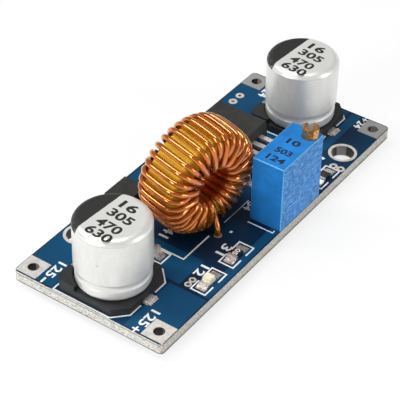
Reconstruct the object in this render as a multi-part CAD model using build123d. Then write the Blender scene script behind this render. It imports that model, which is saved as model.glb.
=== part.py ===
from build123d import *
import math
import os

os.makedirs("parts", exist_ok=True)

# Step-down converter module: a small circuit board with its parts soldered on.
# The origin is the centre of the board's underside. +X points to the input end,
# +Y to the long edge beside the regulator and +Z up. All sizes are millimetres.

# Board
board_length = 54.0
board_width = 23.0
board_thickness = 1.6
board_corner_radius = 0.6
land_thickness = 0.05
barrel_wall = 0.05

# Mounting holes, one near each end on opposite long edges
mounting_hole_diameter = 3.2
mounting_land_diameter = 4.0
mounting_hole_input_inset = 8.95
mounting_hole_output_inset = 10.05
mounting_hole_inset_y = 2.3

# Square solder pads with a wire hole, one in each corner
terminal_pad_side = 3.2
terminal_pad_inset_x = 0.2
terminal_pad_inset_y = 0.1
terminal_hole_diameter = 1.5

# Plated vias: a row by the regulator, one by the mounting hole and one by the lamp
via_hole_diameter = 0.5
regulator_via_land = 1.25
regulator_via_offset_x = 0.9
regulator_via_inset_y = 1.75
regulator_via_step = 1.75
regulator_via_count = 3
hole_via_land = 1.15
hole_via_distance = 3.3
hole_via_inset_y = 0.6
hole_via_step = 1.15
hole_via_count = 2
lamp_via_land = 0.95
lamp_via_x = -16.32
lamp_via_inset_y = 3.8
lamp_via_step = 0.96
lamp_via_count = 2

# Electrolytic capacitors, one at each end
capacitor_x = 21.4
capacitor_base_side = 10.3
capacitor_base_chamfer = 1.7
capacitor_plate_height = 1.0
capacitor_lug_height = 1.75
capacitor_lug_length = 3.0
capacitor_lug_chamfer = 0.7
capacitor_lug_clearance = 0.1
capacitor_terminal_width = 1.3
capacitor_terminal_thickness = 0.25
capacitor_terminal_root = 1.2
capacitor_terminal_reach = 0.8
can_diameter = 10.0
can_height = 9.6
can_shoulder_width = 0.9
can_shoulder_drop = 0.75
can_shoulder_bulge = 0.12
can_foot_diameter = 9.7
can_foot_radius = 0.6
can_groove_height = 2.1
can_groove_width = 1.3
can_groove_depth = 0.3

# Ring core inductor, standing on its rim behind the trimmer and leaning a little
inductor_x = -6.0
inductor_distance = 5.15
inductor_yaw = -11.0
inductor_lean = 5.0
inductor_clearance = 0.15
core_outer_diameter = 13.6
core_inner_diameter = 7.6
core_width = 5.0
core_edge_radius = 0.5
wire_diameter = 0.8
wire_gap = 0.05
winding_turns = 34
winding_pitch = 10.5
winding_start_angle = 276.75
rim_slack = 0.2
rim_bend_start = 1.8
crest_slack = 0.2
bore_layer_step = 0.62
face_layer_step = 0.65
inductor_lead_offsets = [(-0.4, -3.8), (1.3, 5.2)]
wire_hole_diameter = 1.1

# Regulator in a flat power package with five leads
regulator_x = 7.8
regulator_toe_gap = 1.75
regulator_body_width = 10.2
regulator_body_length = 8.9
regulator_body_height = 4.4
regulator_shoulder_height = 2.2
regulator_front_slope = 0.25
regulator_back_slope = 0.85
regulator_tab_thickness = 1.27
regulator_tab_start = 1.5
regulator_tab_reach = 1.3
regulator_tab_inner_width = 8.0
regulator_tab_outer_width = 9.8
regulator_tab_chamfer = 0.8
regulator_lead_count = 5
regulator_lead_pitch = 1.7
regulator_lead_width = 0.8
regulator_lead_thickness = 0.45
regulator_lead_height = 2.7
regulator_lead_root = 0.8
regulator_lead_shelf = 2.3
regulator_lead_drop = 0.5
regulator_lead_foot = 2.1
regulator_lead_bend = 0.6

# Rectifier diode, between a mounting hole and the regulator, beside the inductor
diode_hole_distance = 8.65
diode_inductor_distance = 9.7
diode_length = 4.6
diode_width = 3.7
diode_height = 2.3
diode_parting_height = 1.1
diode_draft = 5.0
diode_terminal_width = 2.0
diode_terminal_thickness = 0.2
diode_terminal_reach = 0.35
diode_terminal_foot = 1.3
diode_terminal_bend = 0.3

# Chip parts, all one footprint
chip_length = 2.0
chip_width = 1.25
chip_end_length = 0.4
chip_end_thickness = 0.05
resistor_height = 0.5
ceramic_capacitor_height = 1.1
led_carrier_height = 0.35
led_lens_height = 0.5
led_lens_length = 1.2
led_lens_draft = 8.0
led_resistor_x = -8.2
led_resistor_inset = 2.1
feedback_resistor_distance = 6.15
feedback_resistor_inset = 1.55
led_x = -14.38
led_inset = 2.05
ceramic_capacitor_offset = (-8.2, 1.15)

# Trimmer with a vertical adjusting screw that drives a worm wheel
trimmer_distance = 9.65
trimmer_edge_gap = 0.05
trimmer_length = 9.5
trimmer_width = 4.8
trimmer_height = 10.0
trimmer_wall = 0.5
trimmer_roof = 1.6
trimmer_ledge = 0.4
trimmer_edge_radius = 0.2
trimmer_base_recess = 0.4
trimmer_base_thickness = 1.0
trimmer_pin_pitch = 2.54
trimmer_pin_diameter = 0.5
trimmer_pin_count = 3
pin_hole_diameter = 0.8
screw_inset = 1.3
screw_head_diameter = 2.2
screw_head_rise = 1.4
screw_slot_width = 0.7
screw_slot_depth = 1.1
screw_slot_angle = 33.0
screw_neck_diameter = 1.0
screw_worm_diameter = 1.4
screw_tip_diameter = 0.8
screw_tip_length = 0.4
o_ring_section = 0.4
running_clearance = 0.05
wheel_diameter = 6.0
wheel_tooth_depth = 0.3
wheel_teeth = 32
wheel_thickness = 1.0
wheel_wall_gap = 0.15
wheel_floor_gap = 0.5
wheel_post_diameter = 1.2
wiper_thickness = 0.15
wiper_contact_radius = 2.2
wiper_contact_diameter = 0.5
element_thickness = 0.6
track_thickness = 0.05
track_width = 0.7
track_half_angle = 145.0

# Solder
joint_depth = 0.9
joint_cone_depth = 0.65
joint_land_diameter = 1.9
joint_tip_clearance = 0.12
mound_sag = 0.09
mound_toe = 0.05
mound_chip_width = 1.4
mound_chip_reach = 0.9
mound_chip_height = 0.4
mound_lead_reach = 0.5
mound_lead_height = 0.35
mound_capacitor_width = 1.7
mound_capacitor_reach = 0.35
mound_capacitor_height = 0.3

# Worked out from the sizes above
board_top = board_thickness
half_length = board_length / 2
half_width = board_width / 2
input_hole_x = half_length - mounting_hole_input_inset
output_hole_x = mounting_hole_output_inset - half_length
mounting_hole_y = half_width - mounting_hole_inset_y
terminal_x = half_length - terminal_pad_inset_x - terminal_pad_side / 2
terminal_y = half_width - terminal_pad_inset_y - terminal_pad_side / 2
mounting_places = {
    "input_end": (input_hole_x, -mounting_hole_y),
    "output_end": (output_hole_x, mounting_hole_y),
}
terminal_places = {
    "input_plus": (terminal_x, -terminal_y),
    "input_minus": (terminal_x, terminal_y),
    "output_plus": (-terminal_x, -terminal_y),
    "output_minus": (-terminal_x, terminal_y),
}

trimmer_front_y = -half_width + trimmer_edge_gap
trimmer_back_y = trimmer_front_y + trimmer_width
trimmer_right_x = input_hole_x - trimmer_distance
trimmer_left_x = trimmer_right_x - trimmer_length
regulator_toe_y = trimmer_back_y + regulator_toe_gap
regulator_front_y = (
    regulator_toe_y + regulator_lead_foot + regulator_lead_drop + regulator_lead_shelf
)
inductor_y = trimmer_back_y + inductor_distance
inductor_lead_places = [(inductor_x + x, inductor_y + y) for x, y in inductor_lead_offsets]
diode_place = (output_hole_x + diode_hole_distance, inductor_y + diode_inductor_distance)
led_place = (led_x, led_inset - half_width)
led_resistor_place = (led_resistor_x, led_resistor_inset - half_width)
feedback_resistor_place = (
    input_hole_x - feedback_resistor_distance, feedback_resistor_inset - half_width,
)
ceramic_capacitor_place = (
    inductor_x + ceramic_capacitor_offset[0], inductor_y + ceramic_capacitor_offset[1],
)

# Row of vias halfway between the regulator's tab and the pad, a little nearer the pad
regulator_via_middle = (
    regulator_x + regulator_tab_outer_width / 2 + terminal_x - terminal_pad_side / 2
) / 2 + regulator_via_offset_x
regulator_vias = [
    (regulator_via_middle + regulator_via_step * (i - (regulator_via_count - 1) / 2),
     half_width - regulator_via_inset_y)
    for i in range(regulator_via_count)
]
hole_vias = [
    (input_hole_x - hole_via_distance, hole_via_inset_y - half_width + hole_via_step * i)
    for i in range(hole_via_count)
]
lamp_vias = [
    (lamp_via_x + lamp_via_step * i, lamp_via_inset_y - half_width)
    for i in range(lamp_via_count)
]
via_rows = [
    (regulator_via_land, regulator_vias),
    (hole_via_land, hole_vias),
    (lamp_via_land, lamp_vias),
]

rim_radius = core_outer_diameter / 2 + rim_slack + wire_diameter / 2
inductor_height = (
    board_top
    + inductor_clearance
    + (rim_radius + wire_diameter / 2) * math.cos(math.radians(inductor_lean))
    + rim_bend_start * math.sin(math.radians(inductor_lean))
)
yaw = math.radians(inductor_yaw)
lean = math.radians(inductor_lean)
inductor_front = Vector(
    math.cos(lean) * math.sin(yaw), -math.cos(lean) * math.cos(yaw), -math.sin(lean)
)
inductor_plane = Plane(
    origin=(inductor_x, inductor_y, inductor_height),
    x_dir=(math.cos(yaw), math.sin(yaw), 0),
    z_dir=inductor_front,
)

trimmer_centre = (trimmer_left_x + trimmer_length / 2, trimmer_front_y + trimmer_width / 2)
trimmer_pin_places = [
    (trimmer_centre[0] + trimmer_pin_pitch * (i - (trimmer_pin_count - 1) / 2), trimmer_centre[1])
    for i in range(trimmer_pin_count)
]
trimmer_roof_z = board_top + trimmer_height - trimmer_roof
trimmer_ledge_z = trimmer_roof_z + trimmer_ledge
trimmer_top_z = board_top + trimmer_height
trimmer_floor_z = board_top + trimmer_base_recess + trimmer_base_thickness
o_ring_z = (trimmer_ledge_z + trimmer_top_z) / 2
screw_x = trimmer_right_x - screw_inset
screw_y = trimmer_front_y + screw_inset
wheel_x = screw_x - (screw_worm_diameter + wheel_diameter) / 2 - running_clearance
wheel_z = trimmer_floor_z + wheel_floor_gap + wheel_diameter / 2
wheel_front_y = trimmer_front_y + trimmer_wall + wheel_wall_gap
wheel_back_y = wheel_front_y + wheel_thickness
element_centre_y = trimmer_centre[1]
element_front_y = element_centre_y - element_thickness / 2
element_bottom_z = trimmer_floor_z + wheel_floor_gap / 2
element_top_z = wheel_z + wheel_diameter / 2


def block(x_range, y_range, z_range):
    """A rectangular block between three pairs of limits."""
    size = [high - low for low, high in (x_range, y_range, z_range)]
    low = (x_range[0], y_range[0], z_range[0])
    return Pos(*low) * Box(*size, align=(Align.MIN, Align.MIN, Align.MIN))


def disc(diameter, low, high):
    """An upright cylinder between two heights."""
    return Pos(0, 0, low) * Cylinder(diameter / 2, high - low, align=(Align.CENTER, Align.CENTER, Align.MIN))


def mound(start, reach, height, width):
    """Solder that runs up against a wall at x = start, with a hollow slope like a wetted joint."""
    rise = height - mound_toe
    crest = (start, height)
    toe = (start + reach, mound_toe)
    middle = (start + reach / 2 - mound_sag * rise, mound_toe + rise / 2 - mound_sag * reach)
    profile = make_face([
        Polyline(toe, (start + reach, 0), (start, 0), crest),
        ThreePointArc(crest, middle, toe),
    ])
    return extrude(Plane.XZ * profile, width / 2, both=True)


def circuit_board():
    outline = RectangleRounded(board_length, board_width, board_corner_radius)
    holes = []
    for place in mounting_places.values():
        holes.append(Pos(*place) * Circle(mounting_hole_diameter / 2 + barrel_wall))
    for place in terminal_places.values():
        holes.append(Pos(*place) * Circle(terminal_hole_diameter / 2 + barrel_wall))
    for _, places in via_rows:
        holes += [Pos(*place) * Circle(via_hole_diameter / 2 + barrel_wall) for place in places]
    for place in trimmer_pin_places:
        holes.append(Pos(*place) * Circle(pin_hole_diameter / 2))
    for place in inductor_lead_places:
        holes.append(Pos(*place) * Circle(wire_hole_diameter / 2))
    return extrude(outline - holes, board_thickness)


def plated_hole(land, hole_diameter):
    """Lands on both faces of the board, joined by the hole's plated wall."""
    upper = Pos(0, 0, board_top) * extrude(land, land_thickness)
    lower = Pos(0, 0, -land_thickness) * extrude(land, land_thickness)
    barrel = disc(hole_diameter + 2 * barrel_wall, 0, board_top)
    bore = disc(hole_diameter, -2 * land_thickness, board_top + 2 * land_thickness)
    return upper + lower + barrel - bore


def capacitor_base():
    """Moulded seat: two corners cut off, two corners raised beside the can."""
    half = capacitor_base_side / 2
    cut = capacitor_base_chamfer
    nick = capacitor_lug_chamfer
    outline = make_face(Polyline(
        (nick - half, half), (half - nick, half), (half, half - nick), (half, cut - half),
        (half - cut, -half), (cut - half, -half), (-half, cut - half), (-half, half - nick), close=True,
    ))
    plate = extrude(outline, capacitor_plate_height)
    lug = Rectangle(capacitor_lug_length, capacitor_lug_length)
    lug_offset = half - capacitor_lug_length / 2
    corners = [Pos(side * lug_offset, lug_offset) * lug for side in (-1, 1)]
    lugs = extrude(outline & (Sketch() + corners), capacitor_lug_height)
    well = disc(can_diameter + 2 * capacitor_lug_clearance, capacitor_plate_height, can_height)
    return plate + (lugs - well) - capacitor_terminal(1) - capacitor_terminal(-1)


def capacitor_terminal(side):
    """Flat terminal that runs out from under the base on one side."""
    half = capacitor_terminal_width / 2
    ends = (capacitor_terminal_root, capacitor_base_side / 2 + capacitor_terminal_reach)
    y_range = ends if side > 0 else (-ends[1], -ends[0])
    return block((-half, half), y_range, (0, capacitor_terminal_thickness))


def capacitor_can():
    """Sealed can: flat lid, bulged shoulder, and a rolled groove above its foot."""
    wall = can_diameter / 2
    lid_edge = (wall - can_shoulder_width, can_height)
    wall_top = (wall, can_height - can_shoulder_drop)
    shoulder = (
        wall - can_shoulder_width / 2 + can_shoulder_bulge,
        can_height - can_shoulder_drop / 2 + can_shoulder_bulge,
    )
    foot = can_foot_diameter / 2
    groove_low = (foot, can_groove_height - can_groove_width / 2)
    groove_high = (wall, can_groove_height + can_groove_width / 2)
    groove_mid = (wall - can_groove_depth, can_groove_height)
    profile = make_face([
        Polyline((0, 0), (foot, 0), groove_low),
        ThreePointArc(groove_low, groove_mid, groove_high),
        Line(groove_high, wall_top),
        ThreePointArc(wall_top, shoulder, lid_edge),
        Polyline(lid_edge, (0, can_height), (0, 0)),
    ])
    can = revolve(Plane.XZ * profile, Axis.Z)
    rings = can.edges().filter_by(GeomType.CIRCLE).sort_by(Axis.Z)
    return fillet(rings[0], can_foot_radius)


def capacitor_mound(side):
    """Solder that wraps the three free sides of one terminal's end."""
    near = capacitor_base_side / 2
    tip = near + capacitor_terminal_reach
    reach = mound_capacitor_reach
    height = mound_capacitor_height
    ahead = Rot(0, 0, 90) * mound(tip, reach, height, mound_capacitor_width)
    beside = mound(capacitor_terminal_width / 2, reach, height, tip - near)
    beside = Pos(0, (near + tip) / 2) * beside
    joint = ahead + beside + mirror(beside, Plane.YZ)
    return joint if side > 0 else mirror(joint, Plane.XZ)


def inductor_core():
    ring = Circle(core_outer_diameter / 2) - Circle(core_inner_diameter / 2)
    core = extrude(ring, core_width / 2, both=True)
    rims = core.edges().filter_by(GeomType.CIRCLE)
    return inductor_plane * fillet(rims, core_edge_radius)


def winding_profile(layer):
    """Half of one turn from rim to bore, as radius and distance from the ring's middle."""
    bore = core_inner_diameter / 2 - wire_diameter / 2 - wire_gap - layer * bore_layer_step
    face = core_width / 2 + wire_diameter / 2 + 2 * wire_gap + layer * face_layer_step
    crest = core_width / 2 + wire_diameter + crest_slack
    shoulder = (rim_bend_start + crest) / 2
    return [
        (rim_radius, rim_bend_start),
        (rim_radius - wire_diameter / 2, shoulder + wire_diameter / 4),
        (core_outer_diameter / 2 - wire_diameter, crest),
        (bore + wire_diameter * (0.75 + layer / 4), face),
        (bore, face - wire_diameter * (0.75 + layer / 4)),
    ]


def ring_point(radius, angle, offset):
    """Point of the winding, from its place around, across and along the ring."""
    turn = math.radians(angle)
    local = Vector(radius * math.cos(turn), radius * math.sin(turn), offset)
    return inductor_plane.from_local_coords(local)


def winding_path():
    """The wire's whole route: front lead, every turn in order, back lead.

    A turn lies straight across the rim and moves on by one pitch inside the bore."""
    front_lead, back_lead = inductor_lead_places
    above = board_top + wire_diameter
    route = [Vector(*front_lead, -joint_depth), Vector(*front_lead, above)]
    for i in range(winding_turns):
        angle = winding_start_angle - i * winding_pitch
        profile = winding_profile(i % 2)
        into = profile[2:] if i == 0 else profile
        out = profile[2:] if i == winding_turns - 1 else profile
        route += [ring_point(radius, angle, offset) for radius, offset in into]
        route += [ring_point(radius, angle - winding_pitch, -offset) for radius, offset in reversed(out)]
    route += [Vector(*back_lead, above), Vector(*back_lead, -joint_depth)]
    return route


def inductor_winding():
    """One continuous wire; its section is six sided to keep the model light."""
    route = winding_path()
    start = Plane(origin=route[0], z_dir=route[1] - route[0])
    section = start * RegularPolygon(wire_diameter / 2, 6)
    return sweep(section, path=Polyline(*route).wire(), transition=Transition.RIGHT)


def regulator_lead(index):
    """One lead: straight out of the body, down, and flat along the board."""
    x = regulator_x + regulator_lead_pitch * (index - (regulator_lead_count - 1) / 2)
    high = board_top + regulator_lead_height
    low = board_top + regulator_lead_thickness / 2
    shelf = regulator_front_y - regulator_lead_shelf
    drop = shelf - regulator_lead_drop
    points = [
        (x, regulator_front_y + regulator_lead_root, high),
        (x, shelf, high),
        (x, drop, low),
        (x, drop - regulator_lead_foot, low),
    ]
    path = FilletPolyline(*points, radius=regulator_lead_bend)
    start = Plane(origin=points[0], x_dir=(1, 0, 0), z_dir=(0, -1, 0))
    section = start * Rectangle(regulator_lead_width, regulator_lead_thickness)
    return sweep(section, path=path.wire())


def regulator_tab():
    """Metal plate under the body, wider where it stands out at the back."""
    inner = regulator_tab_inner_width / 2
    outer = regulator_tab_outer_width / 2
    start = regulator_tab_start
    neck = regulator_body_length
    end = neck + regulator_tab_reach
    cut = regulator_tab_chamfer
    right = [(inner, start), (inner, neck), (outer, neck), (outer, end - cut), (outer - cut, end)]
    left = [(-x, y) for x, y in reversed(right)]
    plate = extrude(make_face(Polyline(*right, *left, close=True)), regulator_tab_thickness)
    return Pos(regulator_x, regulator_front_y, board_top) * plate


def regulator_body():
    """Moulded body, its front and back sloping in above the leads."""
    back = regulator_body_length
    top = regulator_body_height
    shoulder = regulator_shoulder_height
    side = make_face(Polyline(
        (0, 0), (0, regulator_lead_height), (regulator_front_slope, top),
        (back - regulator_back_slope, top), (back, shoulder), (back, 0), close=True,
    ))
    body = extrude(Plane.YZ * side, regulator_body_width / 2, both=True)
    body = Pos(regulator_x, regulator_front_y, board_top) * body
    leads = [regulator_lead(i) for i in range(regulator_lead_count)]
    return body - [regulator_tab(), *leads]


def diode_terminal(side):
    """Strip that leaves the body at its parting line and folds in underneath."""
    x, y = diode_place
    out = diode_length / 2 + diode_terminal_reach - diode_terminal_thickness / 2
    low = board_top + diode_terminal_thickness / 2
    high = board_top + diode_parting_height
    foot = out - diode_terminal_foot
    points = [
        (x + side * foot, y, high), (x + side * out, y, high),
        (x + side * out, y, low), (x + side * foot, y, low),
    ]
    path = FilletPolyline(*points, radius=diode_terminal_bend)
    start = Plane(origin=points[0], x_dir=(0, 1, 0), z_dir=(side, 0, 0))
    section = start * Rectangle(diode_terminal_width, diode_terminal_thickness)
    return sweep(section, path=path.wire())


def diode_body():
    """Moulded body that narrows above and below its parting line."""
    outline = Rectangle(diode_length, diode_width)
    upper = extrude(outline, diode_height - diode_parting_height, taper=diode_draft)
    depth = diode_parting_height - diode_terminal_thickness
    lower = extrude(outline, depth, dir=(0, 0, -1), taper=diode_draft)
    body = Pos(*diode_place, board_top + diode_parting_height) * (upper + lower)
    return body - [diode_terminal(-1), diode_terminal(1)]


def chip_frame(place, angle=0):
    """Location of a chip part on the board, turned by an angle."""
    return Pos(*place, board_top) * Rot(0, 0, angle)


def chip_body(height):
    """Plain chip, lifted by the thickness of its end caps."""
    half = chip_length / 2
    side = chip_width / 2
    return block((-half, half), (-side, side), (chip_end_thickness, chip_end_thickness + height))


def chip_end(body_height, side):
    """Metal cap that wraps one end of a chip."""
    skin = chip_end_thickness
    outer = chip_length / 2 + skin
    limits = sorted((side * outer, side * (outer - chip_end_length)))
    half = chip_width / 2 + skin
    return block(limits, (-half, half), (0, body_height + 2 * skin)) - chip_body(body_height)


def chip_mound(side):
    """Solder that runs up against one end cap."""
    inner = chip_length / 2 + chip_end_thickness
    ramp = mound(inner, mound_chip_reach, mound_chip_height, mound_chip_width)
    return ramp if side > 0 else mirror(ramp, Plane.YZ)


def led_lens():
    """Clear block moulded on the carrier, narrowing upwards."""
    base = chip_end_thickness + led_carrier_height
    outline = Rectangle(led_lens_length, chip_width)
    return Pos(0, 0, base) * extrude(outline, led_lens_height, taper=led_lens_draft)


def trimmer_housing():
    """Moulded cover, open below, with the wheel's post inside and the screw's hole above."""
    x_range = (trimmer_left_x, trimmer_right_x)
    y_range = (trimmer_front_y, trimmer_back_y)
    cover = block(x_range, y_range, (board_top, trimmer_top_z))
    rounded = cover.edges().filter_by(Axis.Z) + cover.faces().sort_by(Axis.Z)[-1].edges()
    cover = fillet(rounded, trimmer_edge_radius)
    inner_x = (x_range[0] + trimmer_wall, x_range[1] - trimmer_wall)
    inner_y = (y_range[0] + trimmer_wall, y_range[1] - trimmer_wall)
    cavity = block(inner_x, inner_y, (board_top, trimmer_roof_z))
    head_bore = disc(screw_head_diameter + 2 * running_clearance, trimmer_ledge_z, trimmer_top_z)
    neck_bore = disc(screw_neck_diameter + 2 * running_clearance, trimmer_roof_z, trimmer_ledge_z)
    post = Cylinder(wheel_post_diameter / 2, wheel_back_y - inner_y[0])
    post = Pos(wheel_x, (wheel_back_y + inner_y[0]) / 2, wheel_z) * Rot(90, 0, 0) * post
    return cover - cavity - Pos(screw_x, screw_y) * (head_bore + neck_bore) + post


def trimmer_base():
    """Sealing plate that closes the cover from below and carries the pins."""
    x_range = (trimmer_left_x + trimmer_wall, trimmer_right_x - trimmer_wall)
    y_range = (trimmer_front_y + trimmer_wall, trimmer_back_y - trimmer_wall)
    plate = block(x_range, y_range, (board_top + trimmer_base_recess, trimmer_floor_z))
    tip_bore = screw_tip_diameter + 2 * running_clearance
    tip_floor = trimmer_floor_z - screw_tip_length - running_clearance
    cuts = [Pos(screw_x, screw_y) * disc(tip_bore, tip_floor, trimmer_floor_z)]
    for place in trimmer_pin_places:
        cuts.append(Pos(*place) * disc(trimmer_pin_diameter, board_top, trimmer_floor_z))
    return plate - cuts


def trimmer_pin(place):
    return Pos(*place) * disc(trimmer_pin_diameter, -joint_depth, element_bottom_z)


def adjusting_screw():
    """Slotted head with a groove for its seal, neck in the roof's ledge, worm and pivot tip."""
    worm = screw_worm_diameter / 2
    neck = screw_neck_diameter / 2
    head = screw_head_diameter / 2
    tip = screw_tip_diameter / 2
    groove = head + running_clearance - o_ring_section
    tip_z = trimmer_floor_z - screw_tip_length
    worm_low = trimmer_floor_z + running_clearance
    worm_high = trimmer_roof_z - running_clearance
    head_z = trimmer_ledge_z + running_clearance
    groove_low = o_ring_z - o_ring_section / 2
    groove_high = o_ring_z + o_ring_section / 2
    top_z = trimmer_top_z + screw_head_rise
    profile = make_face(Polyline(
        (0, tip_z), (tip, tip_z), (tip, worm_low), (worm, worm_low), (worm, worm_high),
        (neck, worm_high), (neck, head_z), (head, head_z), (head, groove_low), (groove, groove_low),
        (groove, groove_high), (head, groove_high), (head, top_z), (0, top_z), close=True,
    ))
    screw = revolve(Plane.XZ * profile, Axis.Z)
    slot_size = (screw_head_diameter * 2, screw_slot_width, screw_slot_depth)
    slot = Pos(0, 0, top_z - screw_slot_depth / 2) * Rot(0, 0, screw_slot_angle) * Box(*slot_size)
    return Pos(screw_x, screw_y) * (screw - slot)


def trimmer_o_ring():
    """Seal in the screw's groove, a little clear of the housing's bore."""
    outer = screw_head_diameter / 2 + running_clearance
    section = (o_ring_section - running_clearance) / 2
    ring_radius = outer - o_ring_section + section
    return Pos(screw_x, screw_y, o_ring_z) * Torus(ring_radius, section)


def worm_wheel():
    """Toothed wheel that carries the wiper and turns on the housing's post."""
    tip = wheel_diameter / 2
    root = tip - wheel_tooth_depth
    pitch = 2 * math.pi * tip / wheel_teeth
    tooth = make_face(Polyline(
        (root - wheel_tooth_depth, -pitch / 3), (root, -pitch / 3), (tip, -pitch / 8),
        (tip, pitch / 8), (root, pitch / 3), (root - wheel_tooth_depth, pitch / 3), close=True,
    ))
    teeth = [Rot(0, 0, 360 / wheel_teeth * (i + 0.5)) * tooth for i in range(wheel_teeth)]
    bore = Circle(wheel_post_diameter / 2 + running_clearance)
    outline = Circle(root) + teeth - bore
    wheel = extrude(outline, wheel_thickness)
    return Pos(wheel_x, wheel_back_y, wheel_z) * Rot(90, 0, 0) * wheel


def trimmer_wiper():
    """Spring arm fixed on the wheel's back, with a button that rides on the track."""
    bore = Circle(wheel_post_diameter / 2 + running_clearance)
    hub = Circle(wheel_post_diameter)
    arm = Pos(0, wiper_contact_radius / 2) * Rectangle(wiper_contact_diameter * 2, wiper_contact_radius)
    end = Pos(0, wiper_contact_radius) * Circle(wiper_contact_diameter)
    strip = extrude(hub + arm + end - bore, -wiper_thickness)
    reach = element_front_y - track_thickness - running_clearance - wheel_back_y
    button = Pos(0, wiper_contact_radius) * disc(wiper_contact_diameter, -reach, 0)
    return Pos(wheel_x, wheel_back_y, wheel_z) * Rot(90, 0, 0) * (strip + button)


def resistor_element():
    """Ceramic plate that stands on the pins behind the wheel."""
    x_range = (trimmer_left_x + trimmer_wall, trimmer_right_x - trimmer_wall)
    y_range = (element_front_y, element_front_y + element_thickness)
    return block(x_range, y_range, (element_bottom_z, element_top_z))


def resistor_track():
    """Printed track on the plate, an arc around the wheel's axis."""
    middle = wiper_contact_radius
    ends = 90 - track_half_angle
    arc = CenterArc((0, 0), middle, ends, 2 * track_half_angle)
    strip = extrude(trace(arc, track_width), track_thickness)
    return Pos(wheel_x, element_front_y, wheel_z) * Rot(90, 0, 0) * strip


def through_joint(lead_diameter, hole_diameter):
    """Solder that fills a hole around a lead and rises to a cone below the board."""
    lead = lead_diameter / 2
    land = joint_land_diameter / 2
    cone_tip = lead + joint_tip_clearance
    ring = make_face(Polyline(
        (lead, -joint_cone_depth), (cone_tip, -joint_cone_depth), (land, -land_thickness), (land, 0),
        (hole_diameter / 2, 0), (hole_diameter / 2, board_top), (lead, board_top), close=True,
    ))
    return revolve(Plane.XZ * ring, Axis.Z)


def lead_mound(index):
    """Solder at the toe of one regulator lead."""
    x = regulator_x + regulator_lead_pitch * (index - (regulator_lead_count - 1) / 2)
    ramp = mound(-regulator_toe_y, mound_lead_reach, mound_lead_height, regulator_lead_width)
    return Pos(x, 0, board_top) * Rot(0, 0, -90) * ramp


def diode_mound(side):
    """Solder beside one diode terminal."""
    inner = diode_length / 2 + diode_terminal_reach
    ramp = mound(inner, mound_lead_reach, mound_lead_height, diode_terminal_width)
    ramp = ramp if side > 0 else mirror(ramp, Plane.YZ)
    return Pos(*diode_place, board_top) * ramp


def add_board(nodes):
    nodes["circuit_board"] = circuit_board()
    for name, place in mounting_places.items():
        land = Circle(mounting_land_diameter / 2)
        nodes[f"mounting_hole_plating_{name}"] = Pos(*place) * plated_hole(land, mounting_hole_diameter)
    for name, place in terminal_places.items():
        land = Rectangle(terminal_pad_side, terminal_pad_side)
        nodes[f"{name}_pad"] = Pos(*place) * plated_hole(land, terminal_hole_diameter)
    vias = []
    for land, places in via_rows:
        via = plated_hole(Circle(land / 2), via_hole_diameter)
        vias += [Pos(*place) * via for place in places]
    nodes["plated_vias"] = Compound(vias)


def add_capacitors(nodes):
    for name, x in (("input", capacitor_x), ("output", -capacitor_x)):
        place = Pos(x, 0, board_top)
        nodes[f"{name}_capacitor_base"] = place * capacitor_base()
        nodes[f"{name}_capacitor_can"] = place * Pos(0, 0, capacitor_plate_height) * capacitor_can()
        nodes[f"{name}_capacitor_plus_terminal"] = place * capacitor_terminal(-1)
        nodes[f"{name}_capacitor_minus_terminal"] = place * capacitor_terminal(1)
        joints = [place * capacitor_mound(side) for side in (-1, 1)]
        nodes[f"{name}_capacitor_solder"] = Compound(joints)


def add_inductor(nodes):
    nodes["inductor_core"] = inductor_core()
    nodes["inductor_winding"] = inductor_winding()
    joint = through_joint(wire_diameter, wire_hole_diameter)
    nodes["inductor_solder"] = Compound([Pos(*place) * joint for place in inductor_lead_places])


def add_regulator(nodes):
    nodes["regulator_body"] = regulator_body()
    nodes["regulator_tab"] = regulator_tab()
    for i in range(regulator_lead_count):
        nodes[f"regulator_lead_{i + 1}"] = regulator_lead(i)
    nodes["regulator_solder"] = Compound([lead_mound(i) for i in range(regulator_lead_count)])


def add_diode(nodes):
    nodes["diode_body"] = diode_body()
    nodes["diode_anode"] = diode_terminal(1)
    nodes["diode_cathode"] = diode_terminal(-1)
    nodes["diode_solder"] = Compound([diode_mound(side) for side in (-1, 1)])


def add_chip(nodes, name, frame, height, solder):
    """One chip: its body, its two end caps, and two mounds added to a shared list."""
    nodes[f"{name}_body"] = frame * chip_body(height)
    ends = [frame * chip_end(height, side) for side in (-1, 1)]
    nodes[f"{name}_end_caps"] = Compound(ends)
    solder += [frame * chip_mound(side) for side in (-1, 1)]


def add_chips(nodes):
    solder = []
    crosswise = chip_frame(ceramic_capacitor_place, 90)
    add_chip(nodes, "led_resistor", chip_frame(led_resistor_place), resistor_height, solder)
    add_chip(nodes, "feedback_resistor", chip_frame(feedback_resistor_place), resistor_height, solder)
    add_chip(nodes, "ceramic_capacitor", crosswise, ceramic_capacitor_height, solder)
    add_chip(nodes, "led", chip_frame(led_place), led_carrier_height, solder)
    lens = led_lens() - [chip_end(led_carrier_height, side) for side in (-1, 1)]
    nodes["led_lens"] = chip_frame(led_place) * lens
    nodes["chip_solder"] = Compound(solder)


def add_trimmer(nodes):
    nodes["trimmer_housing"] = trimmer_housing()
    nodes["trimmer_base"] = trimmer_base()
    nodes["adjusting_screw"] = adjusting_screw()
    nodes["trimmer_o_ring"] = trimmer_o_ring()
    nodes["worm_wheel"] = worm_wheel()
    nodes["trimmer_wiper"] = trimmer_wiper()
    nodes["resistor_element"] = resistor_element()
    nodes["resistor_track"] = resistor_track()
    for i, place in enumerate(trimmer_pin_places):
        nodes[f"trimmer_pin_{i + 1}"] = trimmer_pin(place)
    joint = through_joint(trimmer_pin_diameter, pin_hole_diameter)
    nodes["trimmer_solder"] = Compound([Pos(*place) * joint for place in trimmer_pin_places])


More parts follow.
